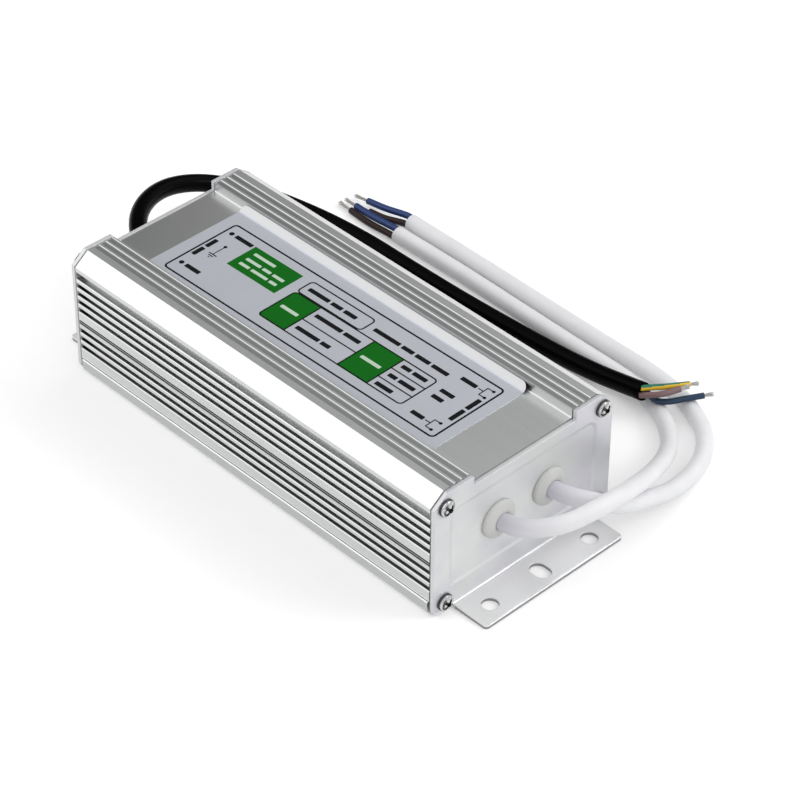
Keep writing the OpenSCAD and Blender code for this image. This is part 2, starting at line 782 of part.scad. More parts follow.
// Label: a vinyl sheet on the channel floor whose far edge turns up against the channel wall
module label_sheet() {
    color([0.68, 0.69, 0.73]) {
        translate([label_x, (label_near + label_flat) / 2, label_z])
            linear_extrude(height = label_t)
                union() {
                    rounded(-label_l / 2, label_l / 2, -label_w / 2, label_w / 2, label_r);
                    translate([-label_l / 2, 0])
                        square([label_l, label_w / 2]);
                }
        along_x(label_x - label_l / 2, label_l)
            translate([label_flat, label_z + label_curl_r]) {
                intersection() {
                    difference() {
                        circle(r = label_curl_r);
                        circle(r = label_curl_r - label_t);
                    }
                    polygon([
                        [0, 0], [0, -9], [9 * tan(label_curl_deg / 2), -9],
                        [9 * sin(label_curl_deg), -9 * cos(label_curl_deg)]
                    ]);
                }
                rotate(label_curl_deg)
                    translate([-0.05, -label_curl_r])
                        square([label_rise + 0.05, label_t]);
            }
    }
}

// Circuit board held in the slots of the side walls
module circuit_board() {
    color([0.10, 0.35, 0.16])
        translate([-board_l / 2, -board_w / 2, board_z])
            cube([board_l, board_w, board_t]);
}

// A place on the board
module on_board(x, y) {
    translate([x * sx, y * sy, board_top])
        children();
}

// Three-legged ferrite core standing on the board
module transformer_core() {
    leg = core_x / 6;
    color([0.16, 0.16, 0.17])
        on_board(0, -4)
            difference() {
                translate([-core_x / 2, -core_y / 2, 0])
                    cube([core_x, core_y, core_z]);
                for (s = [-1, 1])
                    translate([s * core_x / 4 - leg / 2, -core_y / 2 - 1, leg])
                        cube([leg, core_y + 2, core_z - 2 * leg]);
            }
}

// Coil on the middle leg of the core
module transformer_winding() {
    leg = core_x / 6;
    inside = core_x / 2 - leg;
    color([0.80, 0.62, 0.16])
        on_board(0, -4)
            difference() {
                translate([-inside / 2 - leg + 0.1, -core_y / 2 - leg + 0.1, leg + 0.1])
                    cube([inside + 2 * leg - 0.2, core_y + 2 * leg - 0.2, core_z - 2 * leg - 0.2]);
                translate([-inside / 2 - 0.1, -core_y / 2 - 0.1, 0])
                    cube([inside + 0.2, core_y + 0.2, core_z]);
            }
}

// Ring-shaped part lying on the board
module ring_part(r) {
    on_board(r[0], r[1])
        translate([0, 0, r[3] * sz / 2])
            rotate_extrude()
                translate([r[2] * sy / 3, 0])
                    square([r[2] * sy / 3, r[3] * sz], center = true);
}

// Room that a ring takes in the potting
module ring_room(r) {
    on_board(r[0], r[1])
        cylinder(d = r[2] * sy, h = r[3] * sz);
}

module line_choke() {
    color([0.24, 0.42, 0.25])
        ring_part(choke_ring);
}

module film_capacitor() {
    color([0.78, 0.66, 0.20])
        on_board(-56, 4)
            cube([18 * sx, 8 * sy, 14 * sz]);
}

module fuse() {
    color([0.55, 0.50, 0.42])
        on_board(-66, 20)
            translate([0, 0, 2.6 * sz])
                rotate([0, 90, 0])
                    cylinder(d = 5.2 * sz, h = 16 * sx);
}

module bridge_rectifier() {
    color([0.12, 0.12, 0.13])
        on_board(-36, 6)
            cube([16 * sx, 4 * sy, 13 * sz]);
}

module bulk_capacitor() {
    color([0.13, 0.15, 0.22])
        on_board(-26, -14)
            cylinder(d = bulk_d, h = bulk_h);
}

// Power part against the heat spreader with three legs in the board
module power_part(x) {
    back_y = spreader_y - spreader_t;
    translate([x * sx - 5 * sx, back_y - 4.5 * sy, board_top + 5 * sz])
        cube([10 * sx, 4.5 * sy, 15 * sz]);
    for (i = [-1, 0, 1])
        translate([(x + i * 2.54 - 0.5) * sx, back_y - 2.7 * sy, board_top])
            cube([1 * sx, 0.8 * sy, 5.1 * sz]);
}

module switch_transistor() {
    color([0.11, 0.11, 0.12])
        power_part(-24);
}

module output_rectifier() {
    color([0.11, 0.11, 0.12])
        power_part(26);
}

// Aluminium bar that carries the heat of the power parts to the side wall
module heat_spreader() {
    color([0.78, 0.79, 0.80])
        translate([-spreader_l / 2, spreader_y - spreader_t, board_top + board_clear + rib_h])
            cube([spreader_l, spreader_t, 20 * sz]);
}

module output_inductor() {
    color([0.70, 0.52, 0.20])
        ring_part(inductor_ring);
}

module output_capacitors() {
    color([0.13, 0.15, 0.22])
        for (i = [0 : 2])
            on_board(46, -16 + i * 13)
                cylinder(d = outcap_d, h = outcap_h);
}

// Insulated wires from the end of a cable jacket down to the board
module wire_drop(x, y) {
    turn = x - sign(x) * 5;
    rod([x, y, entry_z], [turn, y, entry_z], wire_d);
    translate([turn, y, entry_z])
        sphere(d = wire_d, $fn = 32);
    rod([turn, y, entry_z], [turn, y, board_top], wire_d);
}

module input_wires() {
    color([0.30, 0.35, 0.55])
        for (s = [-1, 0, 1])
            wire_drop(-plate_x + lead_in, s * (wire_d + 0.1));
}

module output_wires() {
    color([0.30, 0.35, 0.55])
        for (y = [near_y, far_y])
            for (s = [-1, 1])
                wire_drop(plate_x - lead_in, y + s * 1.2);
}

// Potting compound poured over the board, round the parts that stand in it
module potting() {
    color([0.22, 0.22, 0.23])
        difference() {
            along_x(-end_x + 0.2, housing_l - 0.4)
                difference() {
                    intersection() {
                        both_sides(inner_outline);
                        translate([-hw, tray_t])
                            square([2 * hw, potting_z - tray_t]);
                    }
                    low_bosses();
                    board_ribs();
                }
            circuit_board();
            on_board(0, -4)
                translate([0, 0, core_z / 2]) {
                    for (s = [-1, 1])
                        translate([s * core_x / 3, 0, 0])
                            cube([core_x / 3, core_y, core_z], center = true);
                    cube([core_x / 2, core_y + core_x / 3, core_z], center = true);
                }
            ring_room(choke_ring);
            film_capacitor();
            fuse();
            bridge_rectifier();
            bulk_capacitor();
            switch_transistor();
            output_rectifier();
            heat_spreader();
            ring_room(inductor_ring);
            output_capacitors();
            input_wires();
            output_wires();
        }
}

module input_cable() {
    color([0.05, 0.05, 0.05])
        tube(input_run, input_cable_d, 10);
}

module input_core_earth() {
    color([0.25, 0.50, 0.20])
        tube(in_earth, core_d, 8);
}

module input_core_brown() {
    color([0.36, 0.25, 0.23])
        tube(in_brown, core_d, 8);
}

module input_core_blue() {
    color([0.13, 0.21, 0.40])
        tube(in_blue, core_d, 8);
}

module input_tips() {
    color([0.78, 0.78, 0.78]) {
        core_tip(in_earth, in_tip_l);
        core_tip(in_brown, in_tip_l);
        core_tip(in_blue, in_tip_l);
    }
}

module output_cable_near() {
    color([0.90, 0.90, 0.92])
        tube(near_run, output_cable_d, 10);
}

module near_core_brown() {
    color([0.27, 0.17, 0.16])
        tube(near_brown, out_core_d, 8);
}

module near_core_blue() {
    color([0.14, 0.24, 0.48])
        tube(near_blue, out_core_d, 8);
}

module near_tips() {
    color([0.78, 0.78, 0.78]) {
        core_tip(near_brown, tip_l);
        core_tip(near_blue, tip_l);
    }
}

module output_cable_far() {
    color([0.90, 0.90, 0.92])
        tube(far_run, output_cable_d, 10);
}

module far_core_brown() {
    color([0.27, 0.17, 0.16])
        tube(far_brown, out_core_d, 8);
}

module far_core_blue() {
    color([0.14, 0.24, 0.48])
        tube(far_blue, out_core_d, 8);
}

module far_tips() {
    color([0.78, 0.78, 0.78]) {
        core_tip(far_brown, tip_l);
        core_tip(far_blue, tip_l);
    }
}

housing();
base_tray();
output_gasket();
input_gasket();
output_plate();
input_plate();
output_screws();
output_washers();
input_screws();
input_washers();
output_grommet_near();
output_grommet_far();
input_grommet();
label_sheet();
circuit_board();
transformer_core();
transformer_winding();
line_choke();
film_capacitor();
fuse();
bridge_rectifier();
bulk_capacitor();
switch_transistor();
output_rectifier();
heat_spreader();
output_inductor();
output_capacitors();
input_wires();
output_wires();
potting();
input_cable();
input_core_earth();
input_core_brown();
input_core_blue();
input_tips();
output_cable_near();
near_core_brown();
near_core_blue();
near_tips();
output_cable_far();
far_core_brown();
far_core_blue();
far_tips();
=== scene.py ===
"""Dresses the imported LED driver: camera, leads, finned case, end plates, label, studio."""
import math

import bmesh
import bpy
from mathutils import Matrix, Vector


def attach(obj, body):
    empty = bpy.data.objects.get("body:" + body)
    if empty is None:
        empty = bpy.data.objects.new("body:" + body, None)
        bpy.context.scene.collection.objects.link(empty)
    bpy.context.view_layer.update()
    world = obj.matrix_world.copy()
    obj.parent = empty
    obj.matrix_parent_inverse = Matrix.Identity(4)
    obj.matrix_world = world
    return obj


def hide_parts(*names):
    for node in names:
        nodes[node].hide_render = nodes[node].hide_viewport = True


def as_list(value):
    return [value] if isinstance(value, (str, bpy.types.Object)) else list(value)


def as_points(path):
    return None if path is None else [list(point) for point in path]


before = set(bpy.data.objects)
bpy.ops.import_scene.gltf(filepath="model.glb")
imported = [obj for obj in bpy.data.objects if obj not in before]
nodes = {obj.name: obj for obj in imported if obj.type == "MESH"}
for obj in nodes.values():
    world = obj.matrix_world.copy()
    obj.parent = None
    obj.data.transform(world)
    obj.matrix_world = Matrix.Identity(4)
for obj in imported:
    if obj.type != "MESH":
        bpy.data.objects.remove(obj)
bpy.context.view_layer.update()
scene = bpy.context.scene

# Camera
# A catalogue shot through a long lens, from well above the corner between the output end and the near
# fins. Place and turn were fitted to the corners of the case.
lens_angle = math.radians(14.4355)
lens_place = (0.529176, -0.486309, 0.597301)
lens_right = Vector((0.6931, 0.72083, 0.00436)).normalized()
lens_down = Vector((0.4569, -0.4346, -0.7760)).normalized()
lens_back = lens_right.cross(-lens_down)
nearest_seen = 0.01
camera_data = bpy.data.cameras.new("camera")
camera_data.angle = lens_angle
camera_data.clip_start = nearest_seen
camera = bpy.data.objects.new("camera", camera_data)
turn = Matrix((lens_right, -lens_down, lens_back)).transposed().to_4x4()
camera.matrix_world = Matrix.Translation(lens_place) @ turn
scene.collection.objects.link(camera)
scene.camera = camera

# Output leads
# Two flexible round cables with smooth white jackets. Each is drawn through its grommet, falls past
# the foot and lies beside the case, where the jacket is cut square and two cores come out.
MM = 0.001


def edge(low, high):
    """The soft edge of a mask: the limits in millimetres between which it goes from 0 to 1."""
    return low * MM, high * MM


class Wire:
    """A shader socket that takes part in sums, and that can add any other node beside it."""

    def __init__(self, tree, socket):
        self.tree = tree
        self.socket = socket

    def node(self, kind, settings, inputs, out=0):
        made = self.tree.nodes.new(kind)
        for key, value in settings.items():
            setattr(made, key, value)
        for key, value in inputs.items():
            if isinstance(value, Wire):
                self.tree.links.new(value.socket, made.inputs[key])
            else:
                made.inputs[key].default_value = value
        return Wire(self.tree, made.outputs[out])

    def sum(self, operation, *values, clamp=False):
        settings = {"operation": operation, "use_clamp": clamp}
        return self.node("ShaderNodeMath", settings, dict(enumerate(values)))

    def __add__(self, other):
        return self.sum("ADD", self, other)

    __radd__ = __add__

    def __sub__(self, other):
        return self.sum("SUBTRACT", self, other)

    def __rsub__(self, other):
        return self.sum("SUBTRACT", other, self)

    def __mul__(self, other):
        return self.sum("MULTIPLY", self, other)

    __rmul__ = __mul__

    def __abs__(self):
        return self.sum("ABSOLUTE", self)

    def __gt__(self, other):
        return self.sum("GREATER_THAN", self, other)

    def root(self):
        return self.sum("SQRT", self)

    def larger(self, other):
        return self.sum("MAXIMUM", self, other)

    def ramp(self, low, high):
        """0 below low, 1 above high, straight between them."""
        return self.sum("MULTIPLY", self - low, 1 / (high - low), clamp=True)

    def band(self, rise, fall):
        """1 between two soft edges and 0 outside them."""
        return self.ramp(*rise) * (1 - self.ramp(*fall))

    def blend(self, colour_a, colour_b):
        """This value mixes two colours."""
        settings = {"data_type": "RGBA"}
        pair = [c if isinstance(c, Wire) else (*c, 1) for c in (colour_a, colour_b)]
        return self.node("ShaderNodeMix", settings, {0: self, 6: pair[0], 7: pair[1]}, 2)

    def noise(self, scale, detail=3.0):
        inputs = {"Vector": self, "Scale": scale, "Detail": detail}
        return self.node("ShaderNodeTexNoise", {}, inputs)

    def streaks(self, scale):
        """Noise drawn out along the axis that has the smallest scale."""
        stretched = self.node("ShaderNodeMapping", {}, {"Vector": self, "Scale": scale})
        return stretched.noise(1.0, 2.0)

    def axis(self, name):
        return self.node("ShaderNodeSeparateXYZ", {}, {0: self}, name)

    def bump(self, height, eased=0.0):
        """Height in metres, as a normal. The edges of the piece are eased by a radius first."""
        inputs = {"Strength": 1.0, "Distance": 1.0, "Height": self * height}
        if eased:
            inputs["Normal"] = self.node("ShaderNodeBevel", {"samples": 6}, {"Radius": eased})
        return self.node("ShaderNodeBump", {}, inputs)


def finish(name, fixed, varying):
    """A material: fixed socket values, and a function from the place on the piece to varying ones."""
    material = bpy.data.materials.new(name)
    material.use_nodes = True
    tree = material.node_tree
    shader = tree.nodes["Principled BSDF"]
    for key, value in fixed.items():
        shader.inputs[key].default_value = value
    place = Wire(tree, tree.nodes.new("ShaderNodeTexCoord").outputs["Object"])
    for key, wire in varying(place).items():
        tree.links.new(wire.socket, shader.inputs[key])
    return material


mottle_scale, mottle_edge = 160.0, (0.3, 0.7)
peel_scale, peel_height = 1400.0, 0.03 * MM
gloss_spread = 0.12


def soft_plastic(name, colour, shade, rough=0.42, specular=0.5, painted_shade=None):
    """Extruded flexible plastic: faint mottling, a slightly uneven gloss and a fine orange peel.
    The last argument, if given, holds painted shade: a function from the place to a mask, and the darker
    colour painted there."""

    def varying(place):
        mottle = place.noise(mottle_scale)
        tone = mottle.ramp(*mottle_edge).blend(colour, shade)
        # Where given, painted shade darkens the tone.
        if painted_shade:
            shaded_at, shaded_tone = painted_shade
            tone = shaded_at(place).blend(tone, shaded_tone)
        return {
            "Base Color": tone,
            "Roughness": rough - gloss_spread / 2 + gloss_spread * mottle,
            "Normal": place.noise(peel_scale).bump(peel_height),
        }

    return finish(name, {"Specular IOR Level": specular}, varying)


def smooth_run(points, fine, straight=1):
    """Points along a smooth curve through the route; the first steps stay straight."""
    p = [Vector(q) * MM for q in points]
    last = len(p) - 1
    step = [(p[i + 1] - p[i]).length for i in range(last)]

    def heading(i):
        if i <= straight:
            return (p[1] - p[0]) / step[0]
        if i == last:
            return (p[i] - p[i - 1]) / step[i - 1]
        return (p[i + 1] - p[i - 1]) / (step[i - 1] + step[i])

    run = []
    for i in range(last):
        count = max(2, round(step[i] / fine))
        go, arrive = heading(i) * step[i], heading(i + 1) * step[i]
        for k in range(count):
            t = k / count
            run.append(
                (2 * t**3 - 3 * t**2 + 1) * p[i] + (t**3 - 2 * t**2 + t) * go
                + (3 * t**2 - 2 * t**3) * p[i + 1] + (t**3 - t**2) * arrive
            )
    return run + [p[last]]


def ring_frames(run):
    """A turned frame at each point of a run, with its third axis along the run."""
    frames = []
    for i, point in enumerate(run):
        ahead = (run[min(i + 1, len(run) - 1)] - run[max(i - 1, 0)]).normalized()
        side = ahead.cross(Vector((0, 0, 1))).normalized()
        up = side.cross(ahead)
        turned = Matrix((side, up, ahead)).transposed().to_4x4()
        frames.append(Matrix.Translation(point) @ turned)
    return frames


def pull_tube(bm, run, radius, sides):
    """Pulls a round face along a run. Returns the face at the far end."""
    frames = ring_frames(run)
    made = bmesh.ops.create_circle(bm, cap_ends=True, segments=sides, radius=radius, matrix=frames[0])
    face = made["verts"][0].link_faces[0]
    start = face
    for before, after in zip(frames, frames[1:]):
        pulled = bmesh.ops.extrude_face_region(bm, geom=[face])["geom"]
        if face != start:
            bmesh.ops.delete(bm, geom=[face], context="FACES_ONLY")
        face = next(g for g in pulled if isinstance(g, bmesh.types.BMFace))
        bmesh.ops.transform(bm, matrix=after @ before.inverted(), verts=face.verts)
    return face


smooth_below = math.radians(40)


def made_piece(name, bm, materials):
    """Turns a bmesh into a piece that rides on the case, smooth but for its sharp edges."""
    bmesh.ops.recalc_face_normals(bm, faces=bm.faces)
    for edge_line in bm.edges:
        edge_line.smooth = edge_line.calc_face_angle(0) < smooth_below
    for face in bm.faces:
        face.smooth = True
    mesh = bpy.data.meshes.new(name)
    bm.to_mesh(mesh)
    bm.free()
    for material in materials:
        mesh.materials.append(material)
    piece = bpy.data.objects.new(name, mesh)
    scene.collection.objects.link(piece)
    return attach(piece, "root")


def hollow_end(bm, end, run, wall, sunk, eased):
    """Turns the end face of a tube into a ring, with what fills the tube a little sunk inside it."""
    rim = list(end.edges)
    bmesh.ops.inset_region(bm, faces=[end], thickness=wall, use_even_offset=True)
    lip = list(end.edges)
    ahead = (run[-1] - run[-2]).normalized()
    sunk_geom = bmesh.ops.extrude_face_region(bm, geom=[end])["geom"]
    bmesh.ops.delete(bm, geom=[end], context="FACES_ONLY")
    filling = next(g for g in sunk_geom if isinstance(g, bmesh.types.BMFace))
    bmesh.ops.translate(bm, vec=-ahead * sunk, verts=filling.verts)
    bmesh.ops.bevel(
        bm, geom=rim + lip, offset=eased, segments=2, profile=0.5, affect="EDGES", material=-1
    )


jacket_sides = 32
jacket_wall, jacket_sunk, jacket_eased = 0.75 * MM, 1.0 * MM, 0.2 * MM


def jacket(name, run, diameter, material):
    """A cable jacket, open at its cut end."""
    bm = bmesh.new()
    end = pull_tube(bm, run, diameter / 2, jacket_sides)
    hollow_end(bm, end, run, jacket_wall, jacket_sunk, jacket_eased)
    return made_piece(name, bm, [material])


plate_side, shade_to_x, shade_to_y = edge(74, 75), edge(80, 94), edge(12, 24)


def painted_shade_at_plate(place):
    """Painted shade: the jackets are coloured greyer where they come out of the plate, for the shade
    beside the plate and the grommets.
    """
    return place.axis("X").band(plate_side, shade_to_x) * (1 - place.axis("Y").ramp(*shade_to_y))


# The white jackets carry painted shade, a greyer colour where they come out of the plate.
white_jacket = soft_plastic(
    "white_jacket", (0.79, 0.79, 0.81), (0.75, 0.75, 0.77), painted_shade=(painted_shade_at_plate, (0.58, 0.57, 0.63))
)
near_route = [
    (68.7, -10, 22), (78.8, -10, 22), (84, -9, 22.6), (88.8, -5.9, 23.7), (93.2, -0.1, 24.8),
    (95.2, 8.2, 25.5), (95, 17.8, 24.4), (92.4, 27.3, 20.8), (88.9, 37.1, 16.5), (84.4, 46.4, 11.6),
    (79.6, 56, 7.5), (73.6, 64.8, 4.4), (65.4, 72, 3), (55.2, 76.7, 2.8), (43, 78.7, 2.8),
    (20, 79.2, 2.8), (-5, 79.8, 2.8), (-30, 80.3, 2.8), (-57.5, 80.2, 2.8),
]
far_route = [
    (68.7, 10, 22), (78.8, 10, 22), (82.8, 11, 21.9), (86.9, 13.8, 21.1), (90, 18.3, 19),
    (91.5, 25.6, 15.1), (90.9, 35.2, 10.9), (89.7, 46.9, 6.2), (87.2, 58.6, 3.4), (83.4, 68.6, 2.8),
    (76.8, 76.6, 2.8), (68, 81.8, 2.8), (57.5, 85.2, 2.8), (46, 86.6, 2.8), (25, 86.8, 2.8),
    (0, 87.2, 2.8), (-30, 87.7, 2.8), (-59.2, 87.9, 2.8),
]
output_d = 5.4 * MM
lead_step = 2.5 * MM
near_path = smooth_run(near_route, lead_step)
far_path = smooth_run(far_route, lead_step)
near_lead = jacket("near_lead", near_path, output_d, white_jacket)
far_lead = jacket("far_lead", far_path, output_d, white_jacket)
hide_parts("output_cable_near")
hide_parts("output_cable_far")

# Input lead
# A round mains cable with a glossy black jacket. It leaves the input end, bends down behind the case
# and runs along it. Its cut end rests on the nearer output lead.
black_jacket = soft_plastic(
    "black_jacket", (0.0006, 0.0006, 0.0007), (0.001, 0.001, 0.001), rough=0.26, specular=0.03
)
input_route = [
    (-68.7, 0, 22), (-78.8, 0, 22), (-86.6, 1, 22.2), (-95, 5.2, 22.2), (-102.5, 12.2, 21.7),
    (-108, 21.4, 20.3), (-110.8, 31.5, 17.8), (-110, 42, 14.5), (-105.5, 51.5, 10.9),
    (-97.7, 59.3, 7.5), (-87.5, 65, 4.8), (-75.5, 68.6, 3.3), (-60, 70, 3), (-40, 70.1, 3),
    (-18, 70.4, 3), (4, 71.4, 3), (22, 72.4, 3.3), (38, 72.8, 5), (56.2, 72.35, 9.1),
]
input_d = 5.8 * MM
input_path = smooth_run(input_route, lead_step)
input_lead = jacket("input_lead", input_path, input_d, black_jacket)
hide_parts("input_cable")

# Cores and bare ends
# Each core is a bundle of tinned copper strands in coloured insulation, stripped for the last few
# millimetres. The earth core is green with a yellow stripe along it.
input_core_d, output_core_d = 1.9 * MM, 2.2 * MM
input_bare, output_bare = 3.0 * MM, 6.0 * MM
core_sides, core_step, core_inside = 28, 0.8 * MM, 0.9 * MM
core_wall, core_sunk, core_eased = 0.32 * MM, 0.5 * MM, 0.1 * MM
core_blue = soft_plastic("core_blue", (0.007, 0.029, 0.14), (0.009, 0.037, 0.165), 0.4)
core_brown = soft_plastic("core_brown", (0.016, 0.007, 0.006), (0.022, 0.010, 0.008), 0.4, 0.25)
core_slate = soft_plastic("core_slate", (0.014, 0.032, 0.072), (0.018, 0.040, 0.085), 0.4, 0.35)
core_mauve = soft_plastic("core_mauve", (0.165, 0.10, 0.105), (0.20, 0.125, 0.13), 0.4, 0.35)
core_green = soft_plastic("core_green", (0.004, 0.13, 0.075), (0.006, 0.16, 0.09), 0.4)
core_yellow = soft_plastic("core_yellow", (0.78, 0.50, 0.02), (0.70, 0.44, 0.02), 0.4)


def tinned(place):
    tarnish = place.noise(900.0)
    return {
        "Base Color": tarnish.blend((0.66, 0.65, 0.64), (0.46, 0.44, 0.42)),
        "Roughness": 0.22 + 0.2 * tarnish,
    }


tinned_copper = finish("tinned_copper", {"Metallic": 1.0}, tinned)


def striped_faces(bm, run, start, stop, half):
    """Faces of a core within an angle either side of a line that turns as it goes along the run."""
    frames = ring_frames(run)
    for face in bm.faces:
        middle = face.calc_center_median()
        i = min(range(len(frames)), key=lambda k: (frames[k].translation - middle).length)
        local = frames[i].inverted() @ middle
        centre = start + (stop - start) * i / len(frames)
        off = (math.degrees(math.atan2(local.y, local.x)) - centre + 180) % 360 - 180
        if abs(off) <= half:
            yield face


def core_piece(name, route, diameter, node, materials, stripe=()):
    """One insulated core, with its end cut square and the strands a little sunk in it."""
    bm = bmesh.new()
    run = smooth_run(route, core_step, straight=0)
    inside = run[0] - (run[1] - run[0]).normalized() * core_inside
    end = pull_tube(bm, [inside] + run, diameter / 2, core_sides)
    if stripe:
        for face in striped_faces(bm, [inside] + run, *stripe):
            face.material_index = 1
    hollow_end(bm, end, run, core_wall, core_sunk, core_eased)
    piece = made_piece(name, bm, materials)
    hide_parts(node)
    return piece


strand_d, strand_sides, strand_steps = 0.34 * MM, 8, 8
strands_round, strand_out, strand_root = 6, 0.36 * MM, 0.5 * MM
strand_twist = 25 / MM
bundle_turn = 17
splay, shortening = 0.5, 0.04


def strand(root, number, out, angle, bare):
    """Points along one strand, which winds about the core's line, splays a little and ends unevenly."""
    line = []
    for i in range(strand_steps + 1):
        t = i / strand_steps
        spread = out * (1 + splay * t * t * (1 + (number % 3) / 3))
        reach = (bare + strand_root) * t * (1 - shortening * (number % 4)) - strand_root
        a = math.radians(angle + strand_twist * reach)
        line.append(root @ Vector((spread * math.cos(a), spread * math.sin(a), reach)))
    return line


def bare_ends(name, routes, node, bare):
    """A twisted bundle at the end of each core: one strand in the middle and a ring about it."""
    bm = bmesh.new()
    for n, route in enumerate(routes):
        root = ring_frames(smooth_run(route, core_step, straight=0))[-1]
        places = [(0.0, 0.0)]
        places += [(strand_out, 360 / strands_round * k + bundle_turn * n) for k in range(strands_round)]
        for k, (out, angle) in enumerate(places):
            tip = pull_tube(bm, strand(root, k, out, angle, bare), strand_d / 2, strand_sides)
            bmesh.ops.poke(bm, faces=[tip])
    piece = made_piece(name, bm, [tinned_copper])
    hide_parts(node)
    return piece


near_blue = [(-57.5, 81.1, 3.6), (-60, 81.1, 3.6), (-70, 81.2, 2.7), (-78.7, 82.1, 1.9)]
near_brown = [(-57.5, 79.3, 1.9), (-60, 79.3, 1.9), (-70, 79.3, 1.3), (-78.9, 79.9, 1.2)]
far_blue = [(-59.2, 88.8, 3.6), (-61.7, 88.8, 3.6), (-70, 87.3, 2.8), (-78.1, 86.8, 1.9)]
far_brown = [(-59.2, 87, 1.9), (-61.7, 86.8, 1.7), (-68.2, 84.8, 1.2), (-74.2, 83.8, 1.2)]
earth = [(55.9, 72.36, 10.42), (59.8, 78.1, 10), (63.2, 84.7, 9.2)]
brown = [(56.32, 71.23, 8.47), (61.1, 74.8, 9.7), (63.3, 80.5, 9.8)]
blue = [(56.37, 73.47, 8.47), (59.2, 74.2, 6.6), (62.4, 76.6, 6.6), (65, 81.4, 6.6), (67.9, 86.2, 6.8)]
earth_stripe = (-12, 40, 45)
earth_finish = [core_green, core_yellow]
near_ends = [
    core_piece("near_blue_core", near_blue, output_core_d, "near_core_blue", [core_blue]),
    core_piece("near_brown_core", near_brown, output_core_d, "near_core_brown", [core_brown]),
    bare_ends("near_strands", [near_blue, near_brown], "near_tips", output_bare),
]
far_ends = [
    core_piece("far_blue_core", far_blue, output_core_d, "far_core_blue", [core_blue]),
    core_piece("far_brown_core", far_brown, output_core_d, "far_core_brown", [core_brown]),
    bare_ends("far_strands", [far_blue, far_brown], "far_tips", output_bare),
]
input_ends = [
    core_piece(
        "earth_core", earth, input_core_d, "input_core_earth", earth_finish, earth_stripe
    ),
    core_piece("brown_core", brown, input_core_d, "input_core_brown", [core_mauve]),
    core_piece("blue_core", blue, input_core_d, "input_core_blue", [core_slate]),
    bare_ends("input_strands", [earth, brown, blue], "input_tips", input_bare),
]
gland_x, output_y, entry_z = 0.0788, 0.010, 0.022
beside_case_y = 0.03
for lead, path, diameter, ends, side in (
    (near_lead, near_path, output_d, near_ends, (gland_x, -output_y, entry_z)),
    (far_lead, far_path, output_d, far_ends, (gland_x, output_y, entry_z)),
    (input_lead, input_path, input_d, input_ends, (-gland_x, 0.0, entry_z)),
):
    outside = [Vector(side)] + [p for p in path if abs(p.x) > gland_x or p.y > beside_case_y]
    free = sum((b - a).length for a, b in zip(outside, outside[1:]))
    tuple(side)
    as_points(path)
    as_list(ends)

# Finned case
# One aluminium extrusion: roof, ribbed rails, label channel, sloped shoulders and side fins. The die
# leaves fine draw lines along it, and the clear anodising gives it a satin gloss.
half_width = 35.0 * MM
draw_lines, broad_streaks = (18.0, 5200.0, 5200.0), (6.0, 420.0, 420.0)
fin_mouth, fin_root, fins_top = edge(0.10, 0.24), edge(2.9, 3.1), edge(37.2, 38.6)
groove_depth, groove_end, top_groove = edge(0.6, 2.0), edge(-75.0, -70.5), edge(34.2, 34.6)
rail_outside, rail_inside = edge(6.8, 7.2), edge(14.8, 15.2)
rail_foot, rail_top, rail_slope = edge(40.5, 41.0), edge(42.84, 42.90), edge(42.705, 42.72)
line_low, line_high = edge(18.3, 18.4), edge(19.6, 19.7)
floor_side, floor_top = edge(15.4, 18.5), edge(40.2, 40.4)
floor_across, floor_along = edge(-14, 16), edge(-80, 10)
skirt_top, skirt_skin = edge(5.75, 5.85), edge(0.1, 0.2)


def grey(level):
    return (level, level, level)


